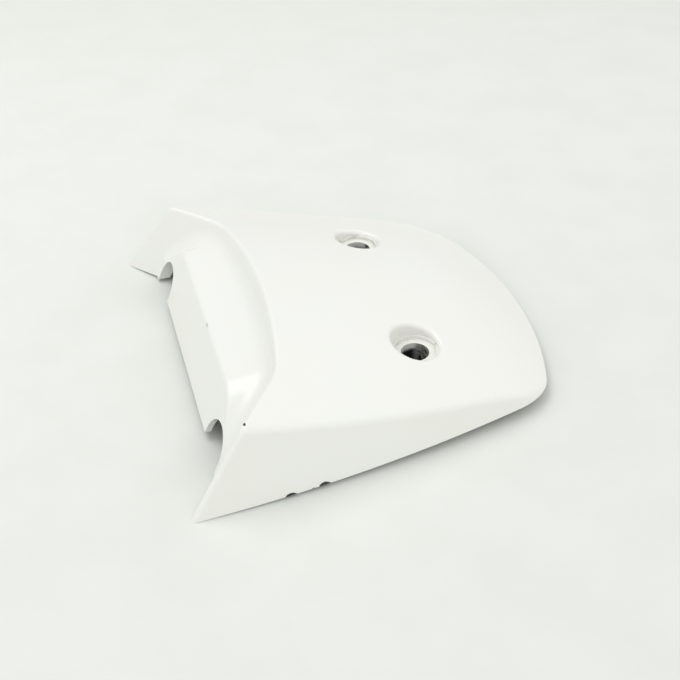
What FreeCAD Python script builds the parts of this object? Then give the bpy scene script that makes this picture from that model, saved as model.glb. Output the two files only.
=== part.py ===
import FreeCAD, Part
import math
import os

# One-piece moulded tail cover for a motorcycle.
# Axes: X to the rear, Y to the right, Z up. While the cover is built, X is measured
# from its two front tips and Z from the surface that the tips stand on.
# At the end it is moved so that the origin is at the bottom centre of its box.

Vector = FreeCAD.Vector

# Sheet
wall = 2.5

# Plan outline at the foot of the side walls
front_width = 190.0
length = 180.5
side_toe_in = 1.5
side_radius = 690.0
side_draft = 13.0
rear_radius = 190.0
rear_corner_radius = 36.0

# Top: a crowned sheet that slopes down to the rear and then rolls over
rim_setback = 50.4
rim_height = 42.7
top_slope = 12.0
crown_radius = 290.0
roll_start = 128.9
roll_radius = 140.0
lower_edge_rise = 1.9

# Rim of the scoop in plan: a shallow arc between two straight diagonals
rim_radius = 385.0
rim_turn_radius = 30.0
rim_diagonal_angle = 36.2
rim_diagonal_reach = 71.7
scoop_wall_lean = 22.0

# Step at the foot of the scoop, with rounded shoulders
step_edge_x = 24.7
step_height = 28.0
step_floor_slope = 10.0
step_half_width = 67.0
step_shoulder_radius = 20.0
step_edge_radius = 2.0
cove_radius = 9.0
panel_lean = 24.0
panel_foot_height = 3.7
panel_half_width = 49.5

# Arched notches between the panel and the wings
notch_center_y = 60.5
notch_radius = 11.5
notch_height = 16.5

# Edge rounding
side_crease_radius = 4.5
rim_edge_radius = 1.8

# Screw recesses and bosses
screw_x = 109.3
screw_spacing = 85.2
screw_hole_diameter = 12.5
recess_mouth_diameter = 21.4
recess_taper = 0.9
recess_ledge = 0.6
recess_floor_diameter = recess_mouth_diameter - 2.0 * recess_taper
seat_diameter = recess_floor_diameter - 2.0 * recess_ledge
recess_depth = 6.3
seat_depth = 1.6
recess_edge_radius = 2.4

# Gussets that brace each boss under the top
gusset_thickness = 1.8
gusset_count = 4
gusset_reach = 13.0
gusset_foot_height = 6.0

# Room by which working bodies run past the cover
beyond = 12.0
far_ahead = 40.0
far_below = 24.0
wide_size = 400.0
crown_half_turn = 32.0
roll_turn = 40.0

# Distance within which a point counts as lying on a face
touching = 0.01


def tangent(degrees):
    return math.tan(math.radians(degrees))


def cosine(degrees):
    return math.cos(math.radians(degrees))


def top_height(x, y):
    """Height of the outer top ahead of the rear roll."""
    sag = (crown_radius - math.sqrt(crown_radius ** 2 - y ** 2)) / cosine(top_slope)
    return rim_height - tangent(top_slope) * (x - rim_setback) - sag


def line(start, end):
    return Part.LineSegment(start, end).toShape()


def arc(center, radius, start, end, z):
    """Level arc between two angles in radians."""
    def point(angle):
        return Vector(center[0] + radius * math.cos(angle), center[1] + radius * math.sin(angle), z)
    return Part.Arc(point(start), point((start + end) / 2.0), point(end)).toShape()


def outline(inset, z):
    """Closed plan outline, moved inwards by inset: sides, rear corners and rear edge are tangent arcs."""
    side_center = (-side_radius * math.sin(math.radians(side_toe_in)),
                   front_width / 2.0 - side_radius * cosine(side_toe_in))
    rear_center = (length - rear_radius, 0.0)
    to_side = side_radius - rear_corner_radius
    to_rear = rear_radius - rear_corner_radius
    gap_x = rear_center[0] - side_center[0]
    gap_y = rear_center[1] - side_center[1]
    gap = math.hypot(gap_x, gap_y)
    along = (to_side ** 2 - to_rear ** 2 + gap ** 2) / (2.0 * gap)
    aside = math.sqrt(to_side ** 2 - along ** 2)
    corner_center = (side_center[0] + (along * gap_x + aside * gap_y) / gap,
                     side_center[1] + (along * gap_y - aside * gap_x) / gap)
    side_end = math.atan2(corner_center[1] - side_center[1], corner_center[0] - side_center[0])
    corner_end = math.atan2(corner_center[1] - rear_center[1], corner_center[0] - rear_center[0])
    side_start = math.acos((-far_ahead - side_center[0]) / (side_radius - inset))
    side = arc(side_center, side_radius - inset, side_start, side_end, z)
    corner = arc(corner_center, rear_corner_radius - inset, side_end, corner_end, z)
    rear = arc(rear_center, rear_radius - inset, corner_end, -corner_end, z)
    half = [side, corner]
    mirrored = [edge.mirror(Vector(0, 0, 0), Vector(0, 1, 0)) for edge in half]
    front_y = side_center[1] + (side_radius - inset) * math.sin(side_start)
    front = line(Vector(-far_ahead, -front_y, z), Vector(-far_ahead, front_y, z))
    return Part.Wire(Part.__sortEdges__([front] + half + [rear] + mirrored))


def side_prism(inset):
    """Drafted body inside the side and rear walls."""
    low = -beyond
    high = rim_height + beyond
    wires = [outline(inset / cosine(side_draft) + z * tangent(side_draft), z) for z in (low, high)]
    return Part.makeLoft(wires, True, True)


def crown_body(inset):
    """Everything under the top: a profile turned about a lengthwise axis, then sloped to the rear."""
    roll_end = math.radians(roll_turn)
    ahead = -rim_setback - far_ahead - beyond
    roll_u = (roll_start - rim_setback) / cosine(top_slope)
    radius = crown_radius - inset
    bend = roll_radius - inset

    def roll_point(angle):
        return Vector(roll_u + bend * math.sin(angle), 0, radius - bend + bend * math.cos(angle))
    edges = [line(Vector(ahead, 0, 0), Vector(ahead, 0, radius)),
             line(Vector(ahead, 0, radius), roll_point(0.0)),
             Part.Arc(roll_point(0.0), roll_point(roll_end / 2.0), roll_point(roll_end)).toShape(),
             line(roll_point(roll_end), Vector(roll_point(roll_end).x, 0, 0)),
             line(Vector(roll_point(roll_end).x, 0, 0), Vector(ahead, 0, 0))]
    profile = Part.Face(Part.Wire(edges))
    profile.rotate(Vector(0, 0, 0), Vector(1, 0, 0), -crown_half_turn)
    body = profile.revolve(Vector(0, 0, 0), Vector(1, 0, 0), 2.0 * crown_half_turn)
    body.translate(Vector(0, 0, -crown_radius))
    body.rotate(Vector(0, 0, 0), Vector(0, 1, 0), top_slope)
    body.translate(Vector(rim_setback, 0, rim_height))
    return body


def scoop_outline(forward, z):
    """Closed plan outline of the space ahead of the scoop wall, with the wall moved forward."""
    turn = math.radians(rim_diagonal_angle)
    normal = (math.cos(turn), math.sin(turn))
    middle_center = (rim_setback - rim_radius, 0.0)
    swing = rim_radius - rim_turn_radius
    gap = rim_diagonal_reach - rim_turn_radius - normal[0] * middle_center[0]
    turn_start = turn - math.acos(gap / swing)
    turn_center = (middle_center[0] + swing * math.cos(turn_start), swing * math.sin(turn_start))
    middle = arc(middle_center, rim_radius - forward, turn_start, -turn_start, z)
    bend = arc(turn_center, rim_turn_radius - forward, turn_start, turn, z)
    reach = rim_diagonal_reach - forward
    front_x = -far_ahead - beyond
    tangent_y = turn_center[1] + (rim_turn_radius - forward) * normal[1]
    tangent_x = turn_center[0] + (rim_turn_radius - forward) * normal[0]
    front_y = (reach - front_x * normal[0]) / normal[1]
    diagonal = line(Vector(tangent_x, tangent_y, z), Vector(front_x, front_y, z))
    half = [bend, diagonal]
    mirrored = [edge.mirror(Vector(0, 0, 0), Vector(0, 1, 0)) for edge in half]
    front = line(Vector(front_x, -front_y, z), Vector(front_x, front_y, z))
    return Part.Wire(Part.__sortEdges__([front] + half + [middle] + mirrored))


def scoop_space(inset):
    """Everything ahead of the scoop wall and the wings' inner faces."""
    heights = (-far_below, rim_height + beyond)
    back = inset / cosine(scoop_wall_lean)
    forwards = [(rim_height - z) * tangent(scoop_wall_lean) - back for z in heights]
    return Part.makeLoft([scoop_outline(f, z) for f, z in zip(forwards, heights)], True, True)


def step_bar(inset):
    """Bar with a sloping top and rounded shoulders, from far ahead to behind the scoop wall."""
    half = step_half_width - inset
    radius = step_shoulder_radius - inset
    top = step_height - inset / cosine(step_floor_slope)
    spring = top - radius
    lean_in = radius * (1.0 - math.sqrt(0.5))
    start_x = -far_ahead - 2.0 * beyond
    drop = (step_edge_x - start_x) * tangent(step_floor_slope)
    foot = -far_below - beyond

    def point(y, z):
        return Vector(start_x, y, z - drop)
    corners = [point(-half, spring), point(-half, foot), point(half, foot), point(half, spring)]
    edges = [line(one, other) for one, other in zip(corners, corners[1:])]
    edges += [Part.Arc(point(side * half, spring), point(side * (half - lean_in), top - lean_in),
                       point(side * (half - radius), top)).toShape() for side in (1.0, -1.0)]
    edges.append(line(point(half - radius, top), point(radius - half, top)))
    face = Part.Face(Part.Wire(Part.__sortEdges__(edges)))
    run = rim_setback + wall - start_x
    return face.extrude(Vector(run, 0, run * tangent(step_floor_slope)))


def ahead_of_panel(inset):
    """Everything ahead of the leaning front panel."""
    half_size = wide_size / 2.0
    ahead = Part.makeBox(wide_size, wide_size, wide_size, Vector(-wide_size, -half_size, -half_size))
    ahead.rotate(Vector(0, 0, 0), Vector(0, 1, 0), panel_lean)
    ahead.translate(Vector(step_edge_x + inset / cosine(panel_lean), 0, step_height))
    return ahead


def scoop_air(inset):
    """Air ahead of the cover, up to the scoop wall, the cove, the step, the panel and the wings."""
    space = scoop_space(inset)
    bar = step_bar(inset)
    ahead = ahead_of_panel(inset)
    if inset > 0.0:
        return space.cut(bar.cut(ahead))
    over_step = space.cut(bar)
    feet = [edge for edge in edges_between(over_step, space, bar) if middle_of(edge).z > touching - far_below]
    over_step = over_step.makeFillet(cove_radius, feet)
    step = space.cut(over_step).cut(ahead)
    fronts = [edge for edge in step.Edges if on_surface(ahead.Shells[0], middle_of(edge))]
    step = step.makeFillet(step_edge_radius, [max(fronts, key=lambda edge: middle_of(edge).z)])
    return space.cut(step)


def below_lower_edge():
    """Everything under the lower edge, which rises gently to the rear."""
    block = Part.makeBox(wide_size, wide_size, wide_size, Vector(-far_ahead, -wide_size / 2.0, -wide_size))
    block.rotate(Vector(0, 0, 0), Vector(0, 1, 0), -lower_edge_rise)
    return block


def middle_of(edge):
    return edge.valueAt((edge.FirstParameter + edge.LastParameter) / 2.0)


def on_surface(shape, point):
    return shape.distToShape(Part.Vertex(point))[0] < touching


def edges_between(body, first, second):
    """Edges of body that lie on the skins of both shapes it was cut from."""
    found = []
    for edge in body.Edges:
        point = middle_of(edge)
        if on_surface(first.Shells[0], point) and on_surface(second.Shells[0], point):
            found.append(edge)
    return found


def solid_body(inset):
    """The cover as if it were solid, moved inwards by inset, with no lower edge yet."""
    prism = side_prism(inset)
    crown = crown_body(inset)
    base = prism.common(crown)
    if inset > 0.0:
        return base.cut(scoop_air(inset))
    creases = [edge for edge in edges_between(base, prism, crown) if middle_of(edge).x > touching - far_ahead]
    base = base.makeFillet(side_crease_radius, creases)
    body = base.cut(scoop_air(inset))
    rims = edges_between(body, base, scoop_space(inset))
    return body.makeFillet(rim_edge_radius, [edge for edge in rims if middle_of(edge).z > touching - beyond])


def along_x(edges):
    """Cutting body with a front view outline, through the front walls only."""
    face = Part.Face(Part.Wire(edges))
    return face.extrude(Vector(rim_setback, 0, 0))


def notch_cutter(side):
    """Arched opening between the panel and one wing."""
    spring = notch_height - notch_radius
    left = notch_center_y - notch_radius
    right = notch_center_y + notch_radius

    def point(y, z):
        return Vector(-beyond, side * y, z)
    edges = [line(point(left, -beyond), point(left, spring)),
             Part.Arc(point(left, spring), point(notch_center_y, notch_height),
                      point(right, spring)).toShape(),
             line(point(right, spring), point(right, -beyond)),
             line(point(right, -beyond), point(left, -beyond))]
    return along_x(edges)


def hem_cutter():
    """Trims the foot of the panel and lets the wings' feet run down to the tips."""
    wing_y = front_width / 2.0 - 2.0 * wall
    outer_z = panel_foot_height * wall / (front_width / 2.0 - panel_half_width)
    points = [(-wing_y, -beyond), (-wing_y, outer_z), (-panel_half_width, panel_foot_height),
              (panel_half_width, panel_foot_height), (wing_y, outer_z), (wing_y, -beyond)]
    corners = [Vector(-beyond, y, z) for y, z in points]
    return along_x([line(a, b) for a, b in zip(corners, corners[1:] + corners[:1])])


def turned(points, y):
    """Body turned about one screw's upright axis from (radius, z) points."""
    corners = [Vector(screw_x + radius, y, z) for radius, z in points]
    edges = [line(a, b) for a, b in zip(corners, corners[1:] + corners[:1])]
    return Part.Face(Part.Wire(edges)).revolve(Vector(screw_x, y, 0), Vector(0, 0, 1), 360.0)


def recess_floor_z():
    return top_height(screw_x, screw_spacing / 2.0) - recess_depth


def boss(y):
    """Recess pan under the top and the tube that reaches down to the tips' level."""
    pan = recess_mouth_diameter / 2.0 + wall
    tube = screw_hole_diameter / 2.0 + wall
    pan_z = recess_floor_z() - wall
    top_z = recess_floor_z() + recess_depth + beyond
    return turned([(0.0, 0.0), (tube, 0.0), (tube, pan_z), (pan, pan_z), (pan, top_z), (0.0, top_z)], y)


def recess_cutter(y):
    """Tapered recess, stepped seat and through hole for one screw."""
    floor = recess_floor_z()
    mouth = floor + recess_depth
    ledge = floor + seat_depth
    flare = recess_taper / (mouth - ledge)
    top_z = mouth + beyond
    return turned([(0.0, -beyond), (screw_hole_diameter / 2.0, -beyond), (screw_hole_diameter / 2.0, floor),
                   (seat_diameter / 2.0, floor), (seat_diameter / 2.0, ledge),
                   (recess_floor_diameter / 2.0, ledge),
                   (recess_mouth_diameter / 2.0 + flare * beyond, top_z), (0.0, top_z)], y)


def gusset(y, angle):
    """Thin brace from the tube out to the underside of the top."""
    tube = screw_hole_diameter / 2.0 + wall
    reach = recess_mouth_diameter / 2.0 + wall + gusset_reach
    top_z = recess_floor_z() + recess_depth
    points = [(tube - wall / 2.0, gusset_foot_height), (tube, gusset_foot_height), (reach, top_z),
              (tube - wall / 2.0, top_z)]
    corners = [Vector(radius, -gusset_thickness / 2.0, z) for radius, z in points]
    edges = [line(a, b) for a, b in zip(corners, corners[1:] + corners[:1])]
    brace = Part.Face(Part.Wire(edges)).extrude(Vector(0, gusset_thickness, 0))
    brace.rotate(Vector(0, 0, 0), Vector(0, 0, 1), angle)
    brace.translate(Vector(screw_x, y, 0))
    return brace


def tail_cover():
    solid = solid_body(0.0)
    sheet = solid.cut(solid_body(wall)).cut(below_lower_edge())
    screw_ys = [-screw_spacing / 2.0, screw_spacing / 2.0]
    turns = [360.0 / gusset_count * (index + 0.5) for index in range(gusset_count)]
    braces = [gusset(y, angle) for y in screw_ys for angle in turns]
    under_top = crown_body(wall / 2.0)
    inner = [part.common(under_top) for part in [boss(y) for y in screw_ys] + braces]
    cutters = [recess_cutter(y) for y in screw_ys]
    cover = sheet.fuse(inner).cut(cutters)
    mouths = [edge for cutter in cutters for edge in edges_between(cover, solid, cutter)]
    cover = cover.makeFillet(recess_edge_radius, mouths)
    cover = cover.cut([notch_cutter(1.0), notch_cutter(-1.0), hem_cutter()])
    box = cover.optimalBoundingBox(False, False)
    cover.translate(Vector(-(box.XMin + box.XMax) / 2.0, 0, -box.ZMin))
    return cover


shape = tail_cover()
os.makedirs("parts", exist_ok=True)
shape.exportStep("parts/tail_cover.step")
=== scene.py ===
import math

import bpy
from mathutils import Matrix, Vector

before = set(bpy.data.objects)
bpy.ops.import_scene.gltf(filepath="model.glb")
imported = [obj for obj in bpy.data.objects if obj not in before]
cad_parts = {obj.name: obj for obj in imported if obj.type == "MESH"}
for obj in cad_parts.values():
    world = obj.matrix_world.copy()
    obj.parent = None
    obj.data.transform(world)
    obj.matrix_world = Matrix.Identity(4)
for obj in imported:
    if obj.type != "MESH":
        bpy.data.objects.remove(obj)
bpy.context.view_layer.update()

NODE = "tail_cover"
MM = 0.001

# Camera: the elevation is chosen, and the rest is fitted to the photograph with it. The place and the
# sensor are in millimetres, the angles in degrees and the near limit in metres
CAMERA_PLACE = (-114.364, -385.7, 314.3)
CAMERA_ELEVATION = 38.0
CAMERA_AZIMUTH = 16.45
FOCAL_PIXELS = 1078.0
IMAGE_PIXELS = 680.0
SENSOR = 36.0
CLIP_START = 0.01

# Colours, as linear light
PAINT = (0.815, 0.825, 0.785, 1.0)
PAINT_WARM = (0.820, 0.822, 0.772, 1.0)
PLASTIC = (0.018, 0.019, 0.018, 1.0)
PLASTIC_WORN = (0.042, 0.043, 0.041, 1.0)
SCUFF = (0.34, 0.35, 0.33, 1.0)
FLOOR = (0.752, 0.775, 0.730, 1.0)
FLOOR_SPOT = (0.730, 0.754, 0.708, 1.0)
# Painted shade: the floor's colour far from the camera, darker where the light falls off
FLOOR_FAR_SHADE = (0.640, 0.664, 0.610, 1.0)
# Painted sheen: lighter grey on one side of each hole's black wall, standing in for its glossy reflection
HOLE_SHEEN = (0.330, 0.330, 0.310, 1.0)
SKY = (1.0, 1.0, 1.0, 1.0)

# Roughness, and the fine grain of paint and plastic: strength of the bump and its height in metres
PAINT_ROUGHNESS = 0.27
PLASTIC_ROUGHNESS = 0.45
FLOOR_ROUGHNESS = 0.8
PAINT_BUMP = 0.04
PLASTIC_BUMP = 0.35
BUMP_HEIGHT = 0.0002

# Noise: scale per metre and detail
PAINT_GRAIN = (420.0, 2.0)
PLASTIC_GRAIN = (2200.0, 2.0)
RAGGED_NOISE = (900.0, 3.0)

# Ragged edges: the noise level that leaves an edge in place, and how strongly the rest moves it
RAGGED_MIDDLE = 0.5
RAGGED_SPAN = 0.9

# Patches: noise scale per metre and detail, and the noise levels at which a patch begins and is full
WARM_PATCHES = (16.0, 2.0, 0.35, 0.70)
SCUFF_PATCHES = (380.0, 4.0, 0.54, 0.70)
WORN_PATCHES = (140.0, 4.0, 0.45, 0.75)
# Patches of the painted sheen in the holes' walls
HOLE_SHEEN_PATCHES = (500.0, 3.0, 0.35, 0.60)
FLOOR_PATCHES = (26.0, 5.0, 0.35, 0.70)

# Sky strength at the horizon and overhead, the upward parts of a direction between which it changes,
# and its tilt along X and Y: brighter on the near side and a little to the rear
SKY_HORIZON = 0.86
SKY_OVERHEAD = 0.87
SKY_RISE = (0.0, 0.8)
SKY_TILT = (0.09, -0.31)

# Ceiling lamp, in metres and watts
LAMP_PLACE = (-0.45, 0.5, 1.4)
LAMP_TARGET = (0.0, 0.0, 0.0)
LAMP_SIZE = 1.1
LAMP_WATTS = 8.0

# Floor, in metres: half its side, and the places along Y between which painted shade darkens it away from the
# camera
FLOOR_HALF = 3.0
FLOOR_SHADE_SPAN = (0.1, 0.9)

# Screw holes in plan, and the levels of the recess, in millimetres
SCREW_X = 21.036
SCREW_Y = 42.6
HOLE_RADIUS = 6.25
SEAT_RADIUS = 9.2
SEAT_LEVEL = 20.66
LEDGE_LEVEL = 22.26

# Arched notches, in millimetres: middle and radius in the front view, and how far back they reach
NOTCH_Y = 60.5
NOTCH_Z = 5.0
NOTCH_RADIUS = 11.5
NOTCH_BACK = -38.0

# Bounds of the painted and worn places, in millimetres: where each soft edge begins, and its width
HOLE_WALL = (HOLE_RADIUS + 0.2, 0.2)
HOLE_TOP = (SEAT_LEVEL - 0.1, 0.1)
HOLE_SPRAY_FOOT = (SEAT_LEVEL - 4.2, 2.4)
RECESS_WALL = (SEAT_RADIUS + 0.6, 0.3)
RECESS_FOOT = (SEAT_LEVEL - 0.3, 0.4)
RING_OUTSIDE = (SEAT_RADIUS + 0.9, 0.3)
RING_INSIDE = (SEAT_RADIUS - 1.0, 0.4)
RING_TOP = (LEDGE_LEVEL + 0.4, 0.5)
RING_FOOT = (SEAT_LEVEL - 0.2, 0.1)
NOTCH_SKIN = (0.2, 0.15)
NOTCH_END = (NOTCH_BACK, 1.0)
HEM_SPRAY_TOP = (2.0, 12.0)
HEM_SPRAY_CLEAR = (14.0, 6.0)

# How far the ragged edges of the spray wander up and down, in millimetres, and how dense thin layers are
HOLE_SPRAY_WANDER = 2.0
HEM_SPRAY_WANDER = 5.0
HEM_SPRAY_SHARE = 0.75
SCUFF_SHARE = 0.45

# Directions in plan in which a hole's wall took spray, and in which it carries a painted sheen that stands in
# for its glossy reflection, with the cosines between which each begins and is full
SPRAY_SIDE = (-0.48, 0.88)
SPRAY_ROUND = (0.20, 0.55)
SPRAY_SPREAD = 0.25
SHEEN_SIDE = (0.88, 0.48)
SHEEN_ROUND = (0.55, 0.85)

# Upward part of a face's normal at which paint begins and is full
PAINT_UPWARD = (0.0, 0.10)

# Chips in the paint: centre, half size along X, Y and Z, in millimetres, and how deep into the paint
CHIPS = [
    ((-47.9, -92.4, 0.9), (2.7, 1.7, 1.6), 1.0),
    ((-33.6, -90.9, 1.3), (2.7, 1.7, 1.9), 1.0),
    ((-38.6, -91.4, 1.2), (1.0, 1.2, 0.8), 0.8),
    ((-63.1, -82.9, 34.9), (0.5, 1.0, 2.2), 1.0),
    ((-63.5, -7.0, 27.6), (0.5, 1.7, 0.6), 0.35),
]

# Squared distance from a chip's centre, over its half size, where its edge begins to fade and is gone
CHIP_EDGE = (0.85, 1.05)

# Sockets of the mix node by number: its share, then the two inputs and the output for colours and for numbers
MIX_SHARE = 0
MIX_COLOURS = (6, 7)
MIX_COLOUR_OUT = 2
MIX_NUMBERS = (2, 3)
MIX_NUMBER_OUT = 0


def put(tree, socket, value):
    """Links another node's output to a socket, or sets the socket to a plain value."""
    if isinstance(value, bpy.types.NodeSocket):
        tree.links.new(value, socket)
    else:
        socket.default_value = value


def calc(tree, operation, *values):
    """Result of one arithmetic operation."""
    node = tree.nodes.new("ShaderNodeMath")
    node.operation = operation
    for socket, value in zip(node.inputs, values):
        put(tree, socket, value)
    return node.outputs[0]


def ramp(tree, value, low, high):
    """Smooth step from 0 at low to 1 at high."""
    node = tree.nodes.new("ShaderNodeMapRange")
    node.interpolation_type = "SMOOTHSTEP"
    put(tree, node.inputs["Value"], value)
    put(tree, node.inputs["From Min"], low)
    put(tree, node.inputs["From Max"], high)
    return node.outputs["Result"]


def noise(tree, place, scale, detail):
    node = tree.nodes.new("ShaderNodeTexNoise")
    put(tree, node.inputs["Vector"], place)
    put(tree, node.inputs["Scale"], scale)
    put(tree, node.inputs["Detail"], detail)
    return node.outputs["Fac"]


def patches(tree, place, scale, detail, begin, full):
    """Soft patches, 0 where the noise is under begin and 1 where it is over full."""
    return ramp(tree, noise(tree, place, scale, detail), begin, full)


def mix(tree, data_type, share, values, sockets):
    """A mix node with its share and its two values put in."""
    node = tree.nodes.new("ShaderNodeMix")
    node.data_type = data_type
    put(tree, node.inputs[MIX_SHARE], share)
    for socket, value in zip(sockets, values):
        put(tree, node.inputs[socket], value)
    return node


def blend(tree, share, first, second):
    """Colour between two colours."""
    node = mix(tree, "RGBA", share, (first, second), MIX_COLOURS)
    return node.outputs[MIX_COLOUR_OUT]


def level(tree, share, first, second):
    """Number between two numbers."""
    node = mix(tree, "FLOAT", share, (first, second), MIX_NUMBERS)
    return node.outputs[MIX_NUMBER_OUT]


def largest(tree, values):
    result = values[0]
    for value in values[1:]:
        result = calc(tree, "MAXIMUM", result, value)
    return result


def inverse(tree, value):
    return calc(tree, "SUBTRACT", 1.0, value)


def product(tree, *values):
    result = values[0]
    for value in values[1:]:
        result = calc(tree, "MULTIPLY", result, value)
    return result


def length_of(tree, first, second):
    square = calc(tree, "ADD", product(tree, first, first), product(tree, second, second))
    return calc(tree, "SQRT", square)


def above(tree, value, limit, soft):
    """0 while a length in metres is under limit, rising to 1 over soft, both in millimetres."""
    return ramp(tree, value, limit * MM, (limit + soft) * MM)


def within(tree, value, limit, soft):
    """1 while a length in metres is under limit, falling to 0 over soft, both in millimetres."""
    return inverse(tree, above(tree, value, limit, soft))


def parts_of(tree, vector):
    """X, Y and Z of a vector."""
    node = tree.nodes.new("ShaderNodeSeparateXYZ")
    put(tree, node.inputs[0], vector)
    return node.outputs


def in_ellipsoid(tree, axes, middle, half, ragged):
    """1 inside an ellipsoid and 0 outside, with a ragged edge."""
    total = ragged
    for axis, center, size in zip(axes, middle, half):
        share = calc(tree, "DIVIDE", calc(tree, "SUBTRACT", axis, center * MM), size * MM)
        total = calc(tree, "ADD", total, product(tree, share, share))
    return inverse(tree, ramp(tree, total, *CHIP_EDGE))


def new_material(name):
    material = bpy.data.materials.new(name)
    material.use_nodes = True
    tree = material.node_tree
    return material, tree, tree.nodes["Principled BSDF"]


def screw_offset(tree, axes):
    """Place in plan from the nearer screw's axis, and the distance."""
    along = calc(tree, "SUBTRACT", axes[0], SCREW_X * MM)
    side = calc(tree, "SIGN", axes[1])
    across = calc(tree, "SUBTRACT", axes[1], product(tree, side, SCREW_Y * MM))
    return along, across, length_of(tree, along, across)


def facing(tree, offset, direction):
    """Cosine of the angle in plan between the way out from a screw's axis and a direction."""
    along, across, reach = offset
    dot = calc(tree, "ADD", product(tree, along, direction[0]), product(tree, across, direction[1]))
    return calc(tree, "DIVIDE", dot, reach)


def in_hole(tree, axes, offset):
    """The wall of each screw hole, below the seat."""
    return product(tree, within(tree, offset[2], *HOLE_WALL), within(tree, axes[2], *HOLE_TOP))


def recess_mask(tree, axes, offset):
    """The seat and the ledge of each screw's recess."""
    return product(tree, within(tree, offset[2], *RECESS_WALL), above(tree, axes[2], *RECESS_FOOT))


def ledge_ring(tree, axes, offset):
    """The ring round each seat, up to its ledge."""
    around = product(tree, within(tree, offset[2], *RING_OUTSIDE), above(tree, offset[2], *RING_INSIDE))
    return product(tree, around, within(tree, axes[2], *RING_TOP), above(tree, axes[2], *RING_FOOT))


def hole_spray(tree, axes, offset, ragged):
    """Spray on one side of each hole's wall, fading downwards, and further round the right-hand hole."""
    edge = calc(tree, "ADD", axes[2], product(tree, ragged, HOLE_SPRAY_WANDER * MM))
    spread = product(tree, calc(tree, "SIGN", axes[1]), SPRAY_SPREAD)
    side = ramp(tree, calc(tree, "ADD", facing(tree, offset, SPRAY_SIDE), spread), *SPRAY_ROUND)
    return product(tree, in_hole(tree, axes, offset), side, above(tree, edge, *HOLE_SPRAY_FOOT))


def notch_mask(tree, axes):
    """The cut faces of the two arched notches."""
    across = calc(tree, "SUBTRACT", calc(tree, "ABSOLUTE", axes[1]), NOTCH_Y * MM)
    height = calc(tree, "MAXIMUM", calc(tree, "SUBTRACT", axes[2], NOTCH_Z * MM), 0.0)
    off = calc(tree, "SUBTRACT", length_of(tree, across, height), NOTCH_RADIUS * MM)
    skin = within(tree, calc(tree, "ABSOLUTE", off), *NOTCH_SKIN)
    return product(tree, skin, within(tree, axes[0], *NOTCH_END))


def hem_spray(tree, axes, offset, ragged):
    """Thin spray that drifted round the lower edge onto the inside, clear of the screw tubes."""
    edge = calc(tree, "SUBTRACT", axes[2], product(tree, ragged, HEM_SPRAY_WANDER * MM))
    clear = above(tree, offset[2], *HEM_SPRAY_CLEAR)
    return product(tree, HEM_SPRAY_SHARE, within(tree, edge, *HEM_SPRAY_TOP), clear)


def chip_mask(tree, axes, ragged):
    """Where paint has come off, and how much of it."""
    chips = []
    for middle, half, depth in CHIPS:
        chips.append(product(tree, in_ellipsoid(tree, axes, middle, half, ragged), depth))
    return largest(tree, chips)


def paint_colour(tree, place, axes, offset):
    """White paint, a little warmer in places, with grey scuffs round each screw's ledge."""
    paint = blend(tree, patches(tree, place, *WARM_PATCHES), PAINT, PAINT_WARM)
    scuffed = patches(tree, place, *SCUFF_PATCHES)
    return blend(tree, product(tree, ledge_ring(tree, axes, offset), scuffed, SCUFF_SHARE), paint, SCUFF)


def plastic_colour(tree, place, axes, offset):
    """Bare black plastic, worn paler in places, with a painted sheen of lighter grey on one side of each
    hole's wall that stands in for its glossy reflection.
    """
    plastic = blend(tree, patches(tree, place, *WORN_PATCHES), PLASTIC, PLASTIC_WORN)
    side = ramp(tree, facing(tree, offset, SHEEN_SIDE), *SHEEN_ROUND)
    # Painted sheen standing in for the glossy reflection on one side of each hole's wall
    sheen = product(tree, in_hole(tree, axes, offset), side, patches(tree, place, *HOLE_SHEEN_PATCHES))
    return blend(tree, sheen, plastic, HOLE_SHEEN)


def cover_material():
    """White gloss paint on the outside, bare black plastic inside and where the paint is chipped."""
    material, tree, shader = new_material("white_paint_on_black_plastic")
    coordinates = tree.nodes.new("ShaderNodeTexCoord")
    place = coordinates.outputs["Object"]
    axes = parts_of(tree, place)
    up = parts_of(tree, coordinates.outputs["Normal"])[2]
    offset = screw_offset(tree, axes)
    rough = calc(tree, "SUBTRACT", noise(tree, place, *RAGGED_NOISE), RAGGED_MIDDLE)
    ragged = product(tree, rough, RAGGED_SPAN)

    painted = largest(tree, [ramp(tree, up, *PAINT_UPWARD), recess_mask(tree, axes, offset),
                             hole_spray(tree, axes, offset, ragged), notch_mask(tree, axes),
                             hem_spray(tree, axes, offset, ragged)])
    painted = product(tree, painted, inverse(tree, chip_mask(tree, axes, ragged)))
    plastic = plastic_colour(tree, place, axes, offset)
    paint = paint_colour(tree, place, axes, offset)
    put(tree, shader.inputs["Base Color"], blend(tree, painted, plastic, paint))
    put(tree, shader.inputs["Roughness"], level(tree, painted, PLASTIC_ROUGHNESS, PAINT_ROUGHNESS))

    plastic_grain = noise(tree, place, *PLASTIC_GRAIN)
    paint_grain = noise(tree, place, *PAINT_GRAIN)
    grain = tree.nodes.new("ShaderNodeBump")
    put(tree, grain.inputs["Strength"], level(tree, painted, PLASTIC_BUMP, PAINT_BUMP))
    put(tree, grain.inputs["Distance"], BUMP_HEIGHT)
    put(tree, grain.inputs["Height"], level(tree, painted, plastic_grain, paint_grain))
    put(tree, shader.inputs["Normal"], grain.outputs["Normal"])
    return material


def dress_cover():
    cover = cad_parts[NODE]
    cover.data.materials.clear()
    cover.data.materials.append(cover_material())


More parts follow.
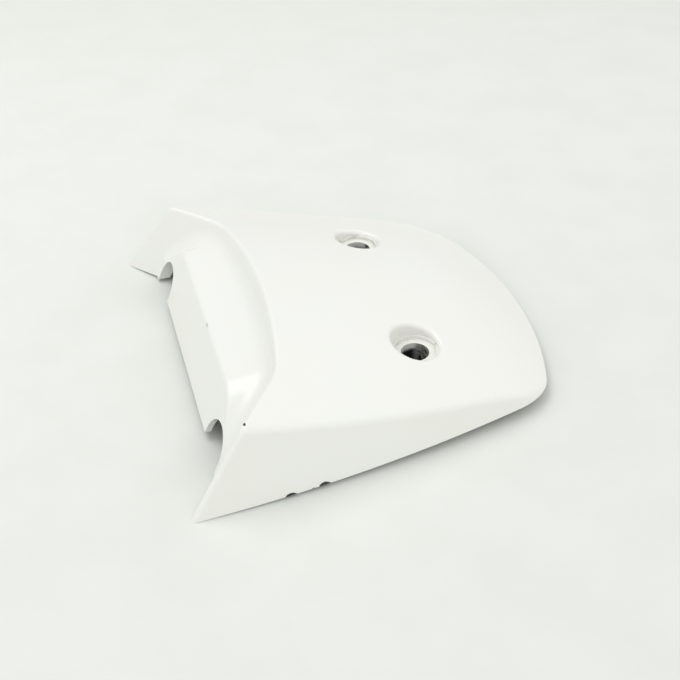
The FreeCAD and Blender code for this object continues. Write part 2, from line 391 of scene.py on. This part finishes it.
def floor_material():
    """Pale mottled floor, darkened away from the camera by painted shade."""
    material, tree, shader = new_material("pale_floor")
    place = tree.nodes.new("ShaderNodeTexCoord").outputs["Object"]
    near = blend(tree, patches(tree, place, *FLOOR_PATCHES), FLOOR, FLOOR_SPOT)
    # Painted shade: darker away from the camera, where the light falls off
    far_shade = ramp(tree, parts_of(tree, place)[1], *FLOOR_SHADE_SPAN)
    put(tree, shader.inputs["Base Color"], blend(tree, far_shade, near, FLOOR_FAR_SHADE))
    put(tree, shader.inputs["Roughness"], FLOOR_ROUGHNESS)
    return material


def make_floor():
    corners = [(-FLOOR_HALF, -FLOOR_HALF, 0.0), (FLOOR_HALF, -FLOOR_HALF, 0.0),
               (FLOOR_HALF, FLOOR_HALF, 0.0), (-FLOOR_HALF, FLOOR_HALF, 0.0)]
    mesh = bpy.data.meshes.new("floor")
    mesh.from_pydata(corners, [], [(0, 1, 2, 3)])
    floor = bpy.data.objects.new("floor", mesh)
    bpy.context.scene.collection.objects.link(floor)
    mesh.materials.append(floor_material())


def make_sky():
    world = bpy.data.worlds.new("sky")
    bpy.context.scene.world = world
    world.use_nodes = True
    tree = world.node_tree
    background = tree.nodes["Background"]
    way = parts_of(tree, tree.nodes.new("ShaderNodeTexCoord").outputs["Generated"])
    rising = level(tree, ramp(tree, way[2], *SKY_RISE), SKY_HORIZON, SKY_OVERHEAD)
    tilt = calc(tree, "ADD", product(tree, way[0], SKY_TILT[0]), product(tree, way[1], SKY_TILT[1]))
    put(tree, background.inputs["Strength"], calc(tree, "ADD", rising, tilt))
    put(tree, background.inputs["Color"], SKY)


def make_light(name, place, target, size, watts):
    light = bpy.data.lights.new(name, "AREA")
    light.shape = "DISK"
    light.size = size
    light.energy = watts
    lamp = bpy.data.objects.new(name, light)
    lamp.location = place
    aim = Vector(target) - Vector(place)
    lamp.rotation_euler = aim.to_track_quat("-Z", "Y").to_euler()
    bpy.context.scene.collection.objects.link(lamp)


def make_camera():
    data = bpy.data.cameras.new("camera")
    data.sensor_width = SENSOR
    data.sensor_fit = "HORIZONTAL"
    data.lens = FOCAL_PIXELS / IMAGE_PIXELS * SENSOR
    data.clip_start = CLIP_START
    camera = bpy.data.objects.new("camera", data)
    camera.location = [value * MM for value in CAMERA_PLACE]
    camera.rotation_euler = (math.radians(90.0 - CAMERA_ELEVATION), 0.0, math.radians(-CAMERA_AZIMUTH))
    bpy.context.scene.collection.objects.link(camera)
    bpy.context.scene.camera = camera


bpy.context.scene.view_settings.view_transform = "Standard"
dress_cover()
make_floor()
make_sky()
make_light("ceiling_lamp", LAMP_PLACE, LAMP_TARGET, LAMP_SIZE, LAMP_WATTS)
make_camera()
